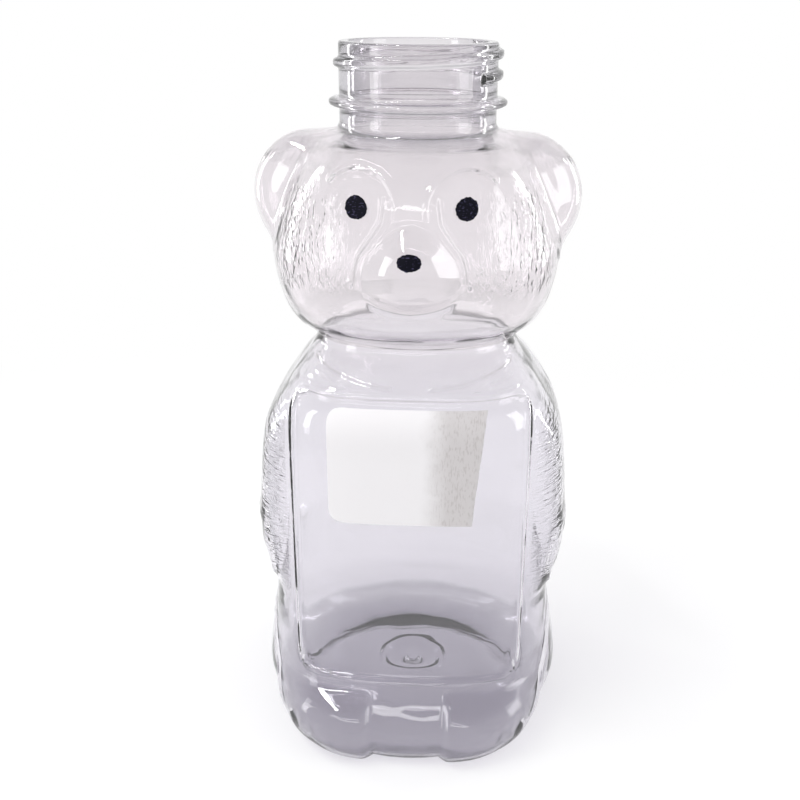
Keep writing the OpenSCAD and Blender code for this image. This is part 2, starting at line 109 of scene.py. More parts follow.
# Sections upwards: height, half width, reach in front, reach behind, squareness
TORSO = np.array([
    (0, LEG_W * 0.42, LAP, RUMP, 2.15),
    (FOOT_H / 3, LEG_W * 0.475, LAP, RUMP, 2.2),
    (FOOT_H * 0.6, LEG_W / 2, mix(BELLY, LAP, 0.9), mix(BACK, RUMP, 0.9), 2.3),
    (PANEL_Z * 0.8, mix(WAIST_W, LEG_W, 0.9) / 2, mix(BELLY, LAP, 0.4), mix(BACK, RUMP, 0.3), 2.6),
    (PANEL_Z * 1.15, mix(WAIST_W, LEG_W, 0.5) / 2, BELLY, BACK, 3),
    (PAW_Z * 0.94, WAIST_W / 2, BELLY, BACK, 3.4),
    torso_key(0.62, 0, 0, 3.4), torso_key(0.78, 0.04, 0, 3.5), torso_key(0.87, 0.28, 0.02, 3.8),
    torso_key(0.92, 0.52, 0.19, 3.5), torso_key(0.96, 0.78, 0.55, 2.9), torso_key(1, 1, 1, 2.3)])
HEAD = np.array([
    jaw_key(0, 0, 0, 2.2), jaw_key(0.05, 0.3, 0.12, 2.2), jaw_key(0.1, 0.53, 0.53, 2.15),
    jaw_key(0.16, 0.72, 0.76, 2.1), jaw_key(0.24, 0.86, 0.9, 2.1), jaw_key(0.34, 0.96, 0.97, 2.15),
    jaw_key(0.42, 1, 1, 2.15), crown_key(0.54, 0.945, 0.985), crown_key(0.67, 0.815, 0.935),
    crown_key(0.8, 0.63, 0.78), crown_key(0.9, 0.42, 0.54), crown_key(0.965, 0.19, 0.24),
    (ROOT_Z, ROOT_R, ROOT_R, ROOT_R, 2)])


def section(keys, z):
    """Half width, reaches and squareness at heights z, on a smooth curve through the keys."""
    slope = np.gradient(keys, axis=0) / np.gradient(keys[:, 0])[:, None]
    i = np.clip(np.searchsorted(keys[:, 0], z, side="right") - 1, 0, len(keys) - 2)
    h = (keys[i + 1, 0] - keys[i, 0])[..., None]
    t = np.clip((z - keys[i, 0])[..., None] / h, 0, 1)
    u = 1 - t
    return (u * u * (1 + 2 * t) * keys[i] + t * t * (1 + 2 * u) * keys[i + 1]
            + t * u * h * (u * slope[i] - t * slope[i + 1]))


def bear_section(z):
    return np.where((z < TORSO_H)[..., None], section(TORSO, z), section(HEAD, z))


def oval(a, b, n, th):
    return (np.abs(np.cos(th) / a) ** n + np.abs(np.sin(th) / b) ** n) ** (-1 / n)


def stroke(x, z, points, width):
    """1 on a line through the points, falling to 0 at about twice the width beside it."""
    best = np.full(x.shape, 1e9)
    for (x0, z0), (x1, z1) in zip(points, points[1:]):
        dx, dz = x1 - x0, z1 - z0
        t = np.clip(((x - x0) * dx + (z - z0) * dz) / (dx * dx + dz * dz), 0, 1)
        best = np.minimum(best, np.hypot(x - x0 - t * dx, z - z0 - t * dz))
    return np.exp(-(best / width) ** 2)


def ear_surface(th, z):
    root = EAR_REACH - EAR_R
    c, s = np.abs(np.cos(th)) / EAR_R, np.sin(th) / (EAR_T / 2)
    k, m = 1 - ((z - EAR_Z) / EAR_R) ** 2, root / EAR_R
    a = c * c + s * s
    d = c * c * m * m - a * (m * m - k)
    return np.where((k > 0) & (d > 0), (c * m + np.sqrt(np.maximum(d, 0))) / a, 0)


BROW = [(EYE_X - 0.4 + 8 * math.cos(a), EYE_Z + 8 * math.sin(a)) for a in np.radians(range(38, 198, 12))]
FOREHEAD = [(5.5, EYE_Z + 12.2), (12, EYE_Z + 12.8), (17.5, EYE_Z + 11)]
MUZZLE_LINE = [(6.2, 135.5), (6.8, 131), (9.2, 127.5), (11.4, 124.5), (12.3, 121.5), (12.5, 118.5)]
COLLAR = [(4.5, 94.4), (11, 95.1), (17, 96.2), (22, 97.4)]
HAIRPIN = [(22, 95.4), (17, 94.6), (13.5, 93.8), (17, 93.5), (25, 93.6)]
MOUTH = [(8.6, 115.2), (6.5, 113.8), (3, 113), (0, 113.7)]


def fine_relief(th, x, z, front):
    """The small forms of the mould: brows, eye rims, the muzzle's edge, mouth, fingers and toes."""
    ax = np.abs(x)
    face = 0.75 * stroke(ax, z, BROW, 0.55) * ease(EYE_X + 8, EYE_X + 5, ax)
    face += 0.4 * stroke(ax, z, FOREHEAD, 0.5)
    ring = np.hypot(ax - EYE_X, z - EYE_Z)
    face += 0.35 * np.exp(-((ring - 5.4) / 0.5) ** 2) * ease(EYE_X - 3, EYE_X + 2, ax)
    face -= 0.55 * stroke(ax, z, MUZZLE_LINE, 0.7)
    face += 0.5 * stroke(ax + 1.4, z, MUZZLE_LINE, 0.55)
    face -= 0.15 * stroke(ax, z, MOUTH, 0.8)
    collar = 0.8 * stroke(ax, z, COLLAR, 0.5) + 0.5 * stroke(ax, z, HAIRPIN, 0.4)
    face += 0.2 * swell(np.hypot(ax / 4.2, (z - TORSO_H - 25.2) / 3))
    off = np.degrees(np.arcsin(np.clip(np.abs(np.sin(th)), 0, 1)))
    paw = np.hypot((off - 24) / 11, (z - PAW_Z - 11) / 9)
    hand = sum(0.45 * np.exp(-((off - o - 0.25 * (z - PAW_Z)) / 1.4) ** 2) for o in (12, 19, 26))
    hand = hand * ease(PAW_Z + 1, PAW_Z + 3, z) * ease(PAW_Z + 12, PAW_Z + 8, z)
    hand -= 0.5 * np.exp(-((paw - 1) / 0.09) ** 2)
    thigh = 0.5 * np.exp(-((off - 16 - 1.2 * (30 - z)) / 2.2) ** 2) * ease(6, 10, z) * ease(34, 28, z)
    toes = sum(0.5 * swell(np.hypot((ax - FOOT_X - o) / 1.6, (z - 9.5) / 3)) for o in (-3.4, 1.2, 5.8))
    return front * (face * (z > TORSO_H + 4) + (collar + thigh - hand - toes) * (z < TORSO_H))


def wall_radius(th, z, fine=1):
    s = bear_section(z)
    front = np.sin(th) < 0
    r = oval(s[..., 1], np.where(front, s[..., 2], s[..., 3]), s[..., 4], th)
    x = r * np.cos(th)
    off = np.degrees(np.arcsin(np.clip(np.abs(np.sin(th)), 0, 1)))
    top = mix(ease(ARM_TOP - 8, PAW_Z + PAW_H, z), ease(ARM_TOP, ARM_TOP - 10, z), 0.55)
    arm = ARM_OUT * top * rise(PAW_Z, PAW_Z + PAW_H, z) * rise(43, 27, off)

    def outside_box(x, z, hw, hh, r):
        qx, qz = np.abs(x) - hw + r, np.abs(z) - hh + r
        return np.hypot(np.maximum(qx, 0), np.maximum(qz, 0)) + np.minimum(np.maximum(qx, qz), 0) - r

    inward = np.abs(x) - FOOT_IN
    foot = 0.5 * rise(0, 2.2, inward) + 0.5 * rise(0.5, 11, inward)
    foot = front * FOOT_OUT * foot * rise(34, 22, np.abs(x)) * rise(FOOT_H, FOOT_H - 4.5, z)
    edge = outside_box(x, z - PANEL_MID, PANEL_W / 2, PANEL_H / 2, PANEL_R)
    soft = np.where(front, PANEL_STEP * 0.4, 2.2 - 1.6 * (np.abs(x) > PANEL_W / 2 - 4))
    panel = np.where(front, PANEL_DEPTH, 0.6 * PANEL_DEPTH) * ease(
        soft, -soft, edge)
    panel -= front * fine * (0.38 + 0.25 * (z < PANEL_Z + 2)) * np.exp(-((edge - 0.4) / 0.45) ** 2)
    h = z + EDGE_CUT
    inset = np.where(h < BASE_R, BASE_R - np.sqrt(np.maximum(BASE_R ** 2 - (BASE_R - h) ** 2, 0)), 0)
    v = (z - MUZZLE_Z) / (MUZZLE_H / 2)
    half = MUZZLE_W / 2 * (0.8 - 0.22 * np.clip(v, -1, 1))
    muzzle = front * MUZZLE_OUT * swell(np.hypot(x / half, v))
    socket = front * SOCKET_DEPTH * swell(np.hypot(np.abs(x) - EYE_X, z - EYE_Z) / (SOCKET_D / 2))
    small = fine * fine_relief(th, x, z, front)
    head, ear = r + muzzle - socket + small, ear_surface(th, z)
    joint = 7 * rise(TORSO_H + 4, TORSO_H + 20, z)
    rounded = (head + ear + np.sqrt((head - ear) ** 2 + joint)) / 2
    widest = cad_box[1][0] / MM / np.maximum(np.abs(np.cos(th)), 0.5)
    trunk = np.minimum(r + arm + foot - panel - inset + small, widest)
    return np.where(z < TORSO_H, trunk, rounded)


def wall_point(th, z, fine=1):
    r = wall_radius(th, z, fine)
    return np.stack([r * np.cos(th), r * np.sin(th), z * np.ones_like(r)], axis=-1)


# Columns of points run up the wall. Those at the panel's and the feet's edges keep their x.
EDGE_ANGLES = (44.5, 46.5, 67, 72)
EDGE_X = ((PANEL_W + PANEL_STEP) / 2, (PANEL_W - PANEL_STEP) / 2, FOOT_IN + 2.8, FOOT_IN)


def fan(*counts):
    """Angles of a quarter's columns, from the side to the middle, with a count for each stretch."""
    stops = (0, *EDGE_ANGLES, 90)
    return np.concatenate([np.linspace(a, b, n, endpoint=False) for a, b, n in zip(stops, stops[1:], counts)] + [[90]])


FRONT_FAN, BACK_FAN = fan(36, 5, 30, 6, 23), fan(18, 4, 10, 3, 11)
COLUMNS = [(1, -1, a) for a in FRONT_FAN[:0:-1]] + [(1, 1, a) for a in BACK_FAN[:-1]] \
    + [(-1, 1, a) for a in BACK_FAN[:0:-1]] + [(-1, -1, a) for a in FRONT_FAN[:-1]]
COLUMNS.append(COLUMNS[0])
col_sx, col_sy, col_a = (np.array(c) for c in zip(*COLUMNS))


def column_angles(z):
    """Direction of every column at the height z, in radians."""
    s = bear_section(np.array([z]))[0]
    out = []
    for reach in (s[2], s[3]):
        w = np.minimum(EDGE_X, 0.95 * s[1])
        own = np.degrees(np.arctan2(reach * (1 - (w / s[1]) ** s[4]) ** (1 / s[4]), w))
        out.append(np.interp(col_a, (0, *EDGE_ANGLES, 90), (0, *own, 90)))
    t = np.where(col_sy < 0, out[0], out[1])
    t = np.radians(mix(t, col_a, ease(PANEL_TOP + PANEL_STEP, TORSO_H + HEAD_H / 10, z)))
    return np.arctan2(col_sy * np.sin(t), col_sx * np.cos(t))


def spread(*runs):
    """Heights from runs of (from, to, count)."""
    return np.concatenate([np.linspace(a, b, n, endpoint=False) for a, b, n in runs])


half_step = PANEL_STEP / 2
OUTER_Z = spread((0, 1.2, 3), (1.2, BASE_R, 5), (BASE_R, FOOT_H - 3.5, 6), (FOOT_H - 3.5, FOOT_H + 0.5, 7),
                 (FOOT_H + 0.5, PANEL_Z - half_step, 3), (PANEL_Z - half_step, PANEL_Z + half_step, 4),
                 (PANEL_Z + half_step, PANEL_Z + PANEL_R, 4), (PANEL_Z + PANEL_R, PAW_Z, 7),
                 (PAW_Z, PAW_Z + 4, 8), (PAW_Z + 4, PAW_Z + PAW_H, 8), (PAW_Z + PAW_H, PANEL_TOP - 3 * PANEL_R, 10),
                 (PANEL_TOP - 3 * PANEL_R, PANEL_TOP - PANEL_R, 5), (PANEL_TOP - PANEL_R, PANEL_TOP - half_step, 5),
                 (PANEL_TOP - half_step, PANEL_TOP + half_step, 4), (PANEL_TOP + half_step, TORSO_H - 2, 12),
                 (TORSO_H - 2, TORSO_H + 4, 9), (TORSO_H + 4, TORSO_H + 12, 9), (TORSO_H + 12, TORSO_H + 42, 50),
                 (TORSO_H + 42, ROOT_Z, 9))
INNER_Z = spread((0.6, BASE_R, 4), (BASE_R, FOOT_H - 3, 3), (FOOT_H - 3, FOOT_H + 1, 4),
                 (FOOT_H + 1, PANEL_Z - 1.2, 2), (PANEL_Z - 1.2, PANEL_Z + 1.2, 4), (PANEL_Z + 1.2, PAW_Z, 5),
                 (PAW_Z, PAW_Z + PAW_H, 7), (PAW_Z + PAW_H, PANEL_TOP - PANEL_R, 7),
                 (PANEL_TOP - PANEL_R, PANEL_TOP + 1.2, 6), (PANEL_TOP + 1.2, TORSO_H - 2, 3),
                 (TORSO_H - 2, TORSO_H + 8, 9), (TORSO_H + 8, TORSO_H + 42, 22), (TORSO_H + 42, ROOT_Z - 0.5, 4))


def ring(th, r, z):
    r = r * np.ones_like(th)
    return np.stack([r * np.cos(th), r * np.sin(th), z * np.ones_like(r)], axis=-1)


def hollow_row(q, up):
    th = column_angles(0.0)
    return ring(th, q * oval(PUSH_W, PUSH_D, 2.2, th), PUSH_UP * rise(1, PUSH_EDGE, np.array(q)) + up)


def inner_row(z):
    th, zz = column_angles(z), np.full(len(col_a), float(z))
    turn = math.radians(1.5)
    u = wall_point(th + turn, zz, 0) - wall_point(th - turn, zz, 0)
    v = wall_point(th, zz + 0.8, 0) - wall_point(th, np.maximum(zz - 0.8, 0), 0)
    n = np.cross(u, v)
    soft = 0.3                             # the inside follows the mould's small forms softly
    return wall_point(th, zz, soft) - WALL * n / np.linalg.norm(n, axis=1)[:, None]


BEAD_Z, BEAD_R, BEAD_H = RIM_Z - 12.4, 19.7, 2.2
THREAD_R, PITCH, TURNS, THREAD_W, THREAD_DROP, THREAD_START, TAPER = 18.55, 4.23, 1.22, 2.6, 1.9, -38, 14


def thread_relief(th, z):
    """Height of the right-hand thread over the neck wall; its ends are blunt."""
    sweep = 360 * TURNS
    out = np.zeros_like(th)
    for turn in (0, 360):
        along = (np.degrees(th) - THREAD_START) % 360 + turn
        middle = RIM_Z - THREAD_DROP - PITCH * (TURNS - along / 360)
        fade = np.minimum(rise(-TAPER / 2, TAPER, along), rise(sweep + TAPER / 2, sweep - TAPER, along))
        body = np.clip((0.5 - np.abs(z - middle) / THREAD_W) / (0.5 - 0.42 / 2), 0, 1)
        body = body * body * (3 - 2 * body)
        out = np.maximum(out, (THREAD_R - NECK_R) * fade * body)
    return out


def neck_row(z, r, threaded=False):
    th = column_angles(ROOT_Z)
    return ring(th, r + (thread_relief(th, z) if threaded else 0), z)


base_th = column_angles(0.0)
centre = np.zeros((len(col_a), 1))
rows = [ring(base_th, 0, PUSH_UP - 0.9)]
rows += [ring(base_th, r, PUSH_UP + up) for r, up in ((1, -0.9), (1.5, -0.45), (2.1, 0), (4.2, 0))]
rows += [ring(base_th, RING_R + k, PUSH_UP + up * RING_H)
         for k, up in ((-1.7, 0), (-1.2, 0.2), (-0.6, 0.8), (0, 1), (0.6, 0.8), (1.2, 0.2), (1.7, 0))]
rows += [hollow_row(q, 0) for q in (0.56, 0.62, 0.68, 0.74, 0.8, 0.86, 0.91, 0.96, 1.0)]
rows += [wall_point(column_angles(z), np.full(len(col_a), float(z))) for z in OUTER_Z]
rows += [neck_row(ROOT_Z, ROOT_R), neck_row(ROOT_Z + 0.15, ROOT_R - 0.25), neck_row(SHOULDER_Z - 0.1, ROOT_R - 0.45),
         neck_row(SHOULDER_Z + 0.45, NECK_R + 0.1), neck_row(SHOULDER_Z + ROOT_OUT, NECK_R),
         neck_row(SHOULDER_Z + 2.2, NECK_R)]
rows += [neck_row(BEAD_Z - BEAD_H / 2 - 0.3, NECK_R), neck_row(BEAD_Z - BEAD_H / 2, NECK_R + 0.25)]
rows += [neck_row(BEAD_Z + dz, BEAD_R - dr) for dz, dr in ((-0.75, 0.7), (-0.45, 0.12), (0, 0), (0.45, 0.12), (0.75, 0.7))]
rows += [neck_row(BEAD_Z + BEAD_H / 2, NECK_R + 0.25), neck_row(BEAD_Z + BEAD_H / 2 + 0.3, NECK_R)]
rows += [neck_row(z, NECK_R, True) for z in np.linspace(BEAD_Z + 3, RIM_Z - 0.6, 24)]
rows += [neck_row(RIM_Z - 0.6 * (1 - math.sin(a)), NECK_R - 0.6 * (1 - math.cos(a))) for a in np.radians((25, 50, 75, 90))]
rows += [neck_row(RIM_Z, NECK_R - 1.1)]
rows += [neck_row(RIM_Z - 0.4 * (1 - math.cos(a)), BORE_R + 0.4 * (1 - math.sin(a))) for a in np.radians((0, 30, 60, 90))]
rows += [neck_row(z, BORE_R) for z in (RIM_Z - 4, RIM_Z - 9, RIM_Z - 14, SHOULDER_Z)]
rows += [neck_row(ROOT_Z - 0.2, BORE_R + 0.2), neck_row(ROOT_Z - WALL, BORE_R + 1.4)]
rows += [inner_row(z) for z in INNER_Z[::-1]]
rows += [hollow_row(q, WALL) for q in (1.04, 0.98, 0.93, 0.88, 0.82, 0.74, 0.66, 0.58)]
rows += [ring(base_th, RING_R + k, PUSH_UP + WALL + up) for k, up in ((2, 0), (1.2, 0.3), (0, 0.5), (-1.2, 0.3), (-2, 0))]
rows += [ring(base_th, r, PUSH_UP + WALL + up) for r, up in ((3, 0), (1.6, 0.15), (0, 0.25))]
rows = np.array(rows)
count = rows.shape[1]

bpy.ops.object.select_all(action="DESELECT")
bpy.ops.mesh.primitive_grid_add(x_subdivisions=count - 1, y_subdivisions=len(rows) - 1, size=1)
bottle = bpy.context.object
bottle.name = "clear_bottle"
rows[..., 1] += AXIS_Y
bottle.data.vertices.foreach_set("co", (rows * MM).ravel())
bpy.ops.object.mode_set(mode="EDIT")
bpy.ops.mesh.select_all(action="SELECT")
bpy.ops.mesh.remove_doubles(threshold=1e-6)
bpy.ops.object.mode_set(mode="OBJECT")
bpy.ops.object.shade_smooth()
print("bottle rows", len(rows), "triangles", sum(len(p.vertices) - 2 for p in bottle.data.polygons))


class Wire:
    """A value that runs through a shader. Sums and products of wires add their Math nodes."""

    def __init__(self, finish, socket):
        self.finish, self.socket = finish, socket

    def maths(self, operation, a, b=0.0):
        return self.finish.node("ShaderNodeMath", {"operation": operation}, {0: a, 1: b})

    def __add__(self, other):
        return self.maths("ADD", self, other)

    def __mul__(self, other):
        return self.maths("MULTIPLY", self, other)

    def __sub__(self, other):
        return self.maths("SUBTRACT", self, other)

    def __rsub__(self, other):
        return self.maths("SUBTRACT", other, self)

    def __pow__(self, other):
        return self.maths("POWER", self, other)

    def band(self, low, high):
        """0 below low and 1 above high, or the other way round where high is the lower."""
        flip = low > high
        a, b = min(low, high), max(low, high)
        return self.finish.node("ShaderNodeMapRange", {"interpolation_type": "SMOOTHSTEP"},
                                {0: self, 1: a, 2: b, 3: 1.0 if flip else 0.0, 4: 0.0 if flip else 1.0})

    __radd__, __rmul__ = __add__, __mul__


class Finish:
    """A material, or the world, and the one way to add a node to it."""

    def __init__(self, owner):
        owner.use_nodes = True
        self.owner, self.tree = owner, owner.node_tree
        self.tree.nodes.clear()

    def node(self, kind, settings=(), sockets=(), out=0):
        made = self.tree.nodes.new(kind)
        for name, value in dict(settings).items():
            if name == "stops":
                while len(made.color_ramp.elements) < len(value):
                    made.color_ramp.elements.new(0.5)
                for stop, (place, colour) in zip(made.color_ramp.elements, value):
                    stop.position, stop.color = place, colour
            else:
                setattr(made, name, value)
        for name, value in dict(sockets).items():
            if isinstance(value, Wire):
                self.tree.links.new(value.socket, made.inputs[name])
            else:
                made.inputs[name].default_value = value
        return Wire(self, made.outputs[out])

    def noise(self, place, scale, detail=2.0, stretch=(1, 1, 1), rough=0.5):
        turned = self.node("ShaderNodeMapping", {}, {"Vector": place, "Scale": stretch})
        return self.node("ShaderNodeTexNoise", {}, {"Vector": turned, "Scale": scale, "Detail": detail, "Roughness": rough})


PET_IOR = 1.57
pet = Finish(bpy.data.materials.new("clear_pet"))
place = pet.node("ShaderNodeTexCoord", out="Object")
split = pet.node("ShaderNodeSeparateXYZ", {}, {0: place}).socket.node
px, py, pz = (Wire(pet, split.outputs[k]) for k in range(3))
side = pet.node("ShaderNodeMath", {"operation": "ABSOLUTE"}, {0: px})
ripple = pet.noise(place, 70, 1.0)
hair = pet.noise(place, 1, 2.0, (800, 500, 300)).band(0.45, 0.62)
rib = pet.noise(place, 1, 1.0, (260, 260, 1100)).band(0.42, 0.6)
cheek = side.band(0.011, 0.015) * pz.band(0.113, 0.118) * pz.band(0.139, 0.132) * py.band(-0.006, -0.013)
sleeve = side.band(0.0275, 0.0295) * pz.band(0.040, 0.05) * pz.band(0.090, 0.084) * py.band(0.012, 0.002)
fur = pet.node("ShaderNodeMath", {"operation": "MAXIMUM"}, {0: hair * cheek, 1: rib * sleeve * 0.55})
bump = pet.node("ShaderNodeBump", {}, {"Strength": 0.4, "Distance": 0.0002, "Height": fur})
bump = pet.node("ShaderNodeBump", {}, {"Strength": 0.5, "Distance": 0.0014, "Height": ripple * pz.band(0.142, 0.130), "Normal": bump})
tint = pet.node("ShaderNodeMix", {"data_type": "RGBA"}, {
    0: pz.band(0.085, 0.105), 6: (0.872, 0.858, 0.893, 1), 7: (0.885, 0.858, 0.878, 1)}, out=2)
clear = pet.node("ShaderNodeBsdfPrincipled", {}, {
    "Base Color": tint, "Roughness": 0.02, "IOR": PET_IOR, "Transmission Weight": 1.0, "Normal": bump})
# Painted shade: a dark tinted glass, mixed in wherever the wall is painted darker.
painted_shade_glass = pet.node("ShaderNodeBsdfPrincipled", {}, {
    "Base Color": (0.40, 0.39, 0.43, 1), "Roughness": 0.05, "IOR": PET_IOR, "Transmission Weight": 1.0, "Normal": bump})
facing = pet.node("ShaderNodeLayerWeight", {}, {"Blend": 0.5}, out="Facing")
# Painted shade on the neck, stronger towards its edges, and a painted dark band at the front of the neck's root.
neck = pz.band(0.1455, 0.1475) * ((facing ** 1.2) * 1.2 + 0.14)
root = pz.band(0.1445, 0.1454) * pz.band(0.1472, 0.1464) * py.band(-0.004, -0.011) * 0.55
crown = pz.band(0.134, 0.139) * pz.band(0.1445, 0.1435)
fold = pz.band(0.096, 0.099) * pz.band(0.107, 0.102) * py.band(0.0, 0.008) * side.band(0.006, 0.011)
ear_top = pz.band(0.1385, 0.1415) * pz.band(0.1475, 0.1465) * side.band(0.014, 0.019) * 0.7
# Painted shade where the wall is seen edge on, weaker over the crown and in the crease at the back between head and
# body.
painted_edge_shade = (facing ** 9.0) * (0.85 - crown * 0.7 - fold * 0.65)
# Painted shade: the wall is darker towards the base and the feet.
foot = pz.band(0.020, 0.004) * 0.22 + pz.band(0.0075, 0.005) * 0.38
body = pet.node("ShaderNodeMixShader", {}, {0: painted_edge_shade + neck + root + foot, 1: clear, 2: painted_shade_glass})
film = pet.node("ShaderNodeBsdfTransparent", {}, {"Color": (0.985, 0.972, 0.982, 1)})
body = pet.node("ShaderNodeMixShader", {}, {0: ear_top + fold * 0.7, 1: body, 2: film})
shade = pet.node("ShaderNodeBsdfTransparent", {}, {"Color": (0.84, 0.83, 0.86, 1)})
path = pet.node("ShaderNodeLightPath").socket.node
shadow = pet.node("ShaderNodeMath", {"operation": "MAXIMUM"}, {
    0: Wire(pet, path.outputs["Is Shadow Ray"]), 1: Wire(pet, path.outputs["Is Diffuse Ray"])})
final = pet.node("ShaderNodeMixShader", {}, {0: shadow, 1: body, 2: shade})
pet.node("ShaderNodeOutputMaterial", {"target": "ALL"}, {"Surface": final}) if False else None
output = pet.tree.nodes.new("ShaderNodeOutputMaterial")
pet.tree.links.new(final.socket, output.inputs["Surface"])
bottle.data.materials.append(pet.owner)
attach(bottle, "root")
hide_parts("shell", "neck_finish")


def seal(finish, surface):
    output = finish.tree.nodes.new("ShaderNodeOutputMaterial")
    finish.tree.links.new(surface.socket, output.inputs["Surface"])


# ---------------------------------------------------------------------------------------------
# Eyes and nose: spots of blue-black ink that are pad-printed on the face. The ink is thin,
# mottled and a little ragged at its edge.
def face_point(x, z, over=0.0):
    """Points at a height over the front of the bear, at x and z in millimetres."""
    def depth(x, z):
        y = np.full(x.shape, -float(FACE))
        for _ in range(12):
            r = wall_radius(np.arctan2(y, x), z)
            y = -np.sqrt(np.maximum(r * r - x * x, 0))
        return y

    step = 0.2
    fx = (depth(x + step, z) - depth(x - step, z)) / (2 * step)
    fz = (depth(x, z + step) - depth(x, z - step)) / (2 * step)
    n = np.stack([fx, -np.ones_like(fx), fz], axis=-1)
    n /= np.linalg.norm(n, axis=-1)[..., None]
    return (np.stack([x, depth(x, z), z], axis=-1) + over * n + (0, AXIS_Y, 0)) * MM


def sheet(name, x, z, low, high, finish):
    """Closed sheet on the bear's front between two heights over it, on a grid of x and z."""
    lines, across = x.shape
    bpy.ops.object.select_all(action="DESELECT")
    bpy.ops.mesh.primitive_grid_add(x_subdivisions=across - 1, y_subdivisions=lines - 1, size=1)
    piece = bpy.context.object
    piece.name = name
    piece.data.vertices.foreach_set("co", face_point(x, z, high).ravel())
    bpy.ops.object.mode_set(mode="EDIT")
    bpy.ops.mesh.select_all(action="SELECT")
    bpy.ops.mesh.remove_doubles(threshold=1e-6)
    bpy.ops.object.mode_set(mode="OBJECT")
    solid = piece.modifiers.new("thickness", "SOLIDIFY")
    solid.thickness, solid.offset = (high - low) * MM, -1
    bpy.ops.object.modifier_apply(modifier=solid.name)
    bpy.ops.object.shade_smooth_by_angle(angle=math.radians(50))
    piece.data.materials.append(finish)
    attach(piece, "root")
    return piece


ink = Finish(bpy.data.materials.new("printed_ink"))
place = ink.node("ShaderNodeTexCoord", out="Object")
mottle = ink.noise(place, 1, 3.0, (1600, 1600, 3200)).band(0.45, 0.8)
tone = ink.node("ShaderNodeValToRGB", {"stops": ((0.25, (0.002, 0.002, 0.007, 1)), (0.8, (0.06, 0.055, 0.11, 1)))}, {0: mottle})
grain = ink.node("ShaderNodeBump", {}, {"Strength": 0.6, "Distance": 0.00008, "Height": mottle})
seal(ink, ink.node("ShaderNodeBsdfPrincipled", {}, {"Base Color": tone, "Roughness": 0.55 + mottle * 0.2, "Specular IOR Level": 0.1, "Normal": grain}))

rng = np.random.default_rng(24)


def ink_spot(name, x, z, w, h):
    a = np.linspace(0, 2 * np.pi, 97)[:-1]
    ragged = 1 + 0.06 * np.interp(a, np.linspace(0, 2 * np.pi, 60), rng.uniform(-1, 1, 60), period=2 * np.pi)
    a, ragged = np.append(a, a[0]), np.append(ragged, ragged[0])
    k = np.linspace(0.0, 1, 14)[:, None]
    return sheet(name, x + k * np.cos(-a) * ragged * w / 2, z + k * np.sin(-a) * ragged * h / 2, 0.03, 0.2, ink.owner)


for name, x, z, w, h in (("left_eye", EYE_X, EYE_Z, 4.6, 4.6), ("right_eye", -EYE_X, EYE_Z, 4.6, 4.6),
                         ("nose", 0, TORSO_H + 24.9, 5.0, 3.2)):
    spot = ink_spot("ink_" + name, x, z, w, h)
    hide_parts(name)

# ---------------------------------------------------------------------------------------------
# Label: a piece of plain white paper tape, with round corners on its left and a torn right side,
# stuck to the front panel by a thin film of adhesive. Its right third is fibrous and painted grey as shade.
LABEL_W, LABEL_H, LABEL_Z, LABEL_X, LABEL_R, LABEL_SLANT = 35.4, 27.6, 76.4, -0.6, 3.2, 2.6


def label_grid(inset, tear, across=90, lines=70):
    low, high = LABEL_Z - LABEL_H / 2 + inset, LABEL_Z + LABEL_H / 2 - inset
    t = np.linspace(0, 1, lines)
    z = mix(low, high, t)
    depth = np.maximum(0, np.maximum(LABEL_R - (z - low), LABEL_R - (high - z)))
    left = LABEL_X - LABEL_W / 2 + inset + LABEL_R - np.sqrt(np.maximum(0, LABEL_R ** 2 - depth ** 2))
    right = LABEL_X + LABEL_W / 2 - inset - LABEL_SLANT * (1 - t) + tear
    s = np.linspace(0, 1, across)[None, :]
    return mix(left[:, None], right[:, None], s), np.repeat(z[:, None], across, axis=1)


tear = np.cumsum(rng.uniform(-1, 1, 70))
tear = 0.12 * (tear - np.linspace(tear[0], tear[-1], 70)) / max(1, np.abs(tear).max()) + rng.uniform(-0.06, 0.06, 70)

glue = Finish(bpy.data.materials.new("label_adhesive"))
place = glue.node("ShaderNodeTexCoord", out="Object")
blotch = glue.noise(place, 300, 3.0)
tone = glue.node("ShaderNodeValToRGB", {"stops": ((0.3, (0.72, 0.71, 0.69, 1)), (0.7, (0.82, 0.81, 0.79, 1)))}, {0: blotch})
seal(glue, glue.node("ShaderNodeBsdfPrincipled", {}, {"Base Color": tone, "Roughness": 0.35 + blotch * 0.2, "Normal": glue.node(
    "ShaderNodeBump", {}, {"Strength": 0.4, "Distance": 0.0001, "Height": blotch})}))
film = sheet("adhesive_film", *label_grid(0.25, -0.2, 60, 50), 0.04, 0.13, glue.owner)
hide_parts("label_adhesive")

paper = Finish(bpy.data.materials.new("label_paper"))
place = paper.node("ShaderNodeTexCoord", out="Object")
split = paper.node("ShaderNodeSeparateXYZ", {}, {0: place}).socket.node
px, pz = Wire(paper, split.outputs[0]), Wire(paper, split.outputs[2])
fibre = paper.noise(place, 1, 4.0, (900, 900, 1400), 0.7)
long_fibre = paper.noise(place, 1, 3.0, (2600, 900, 700), 0.6)
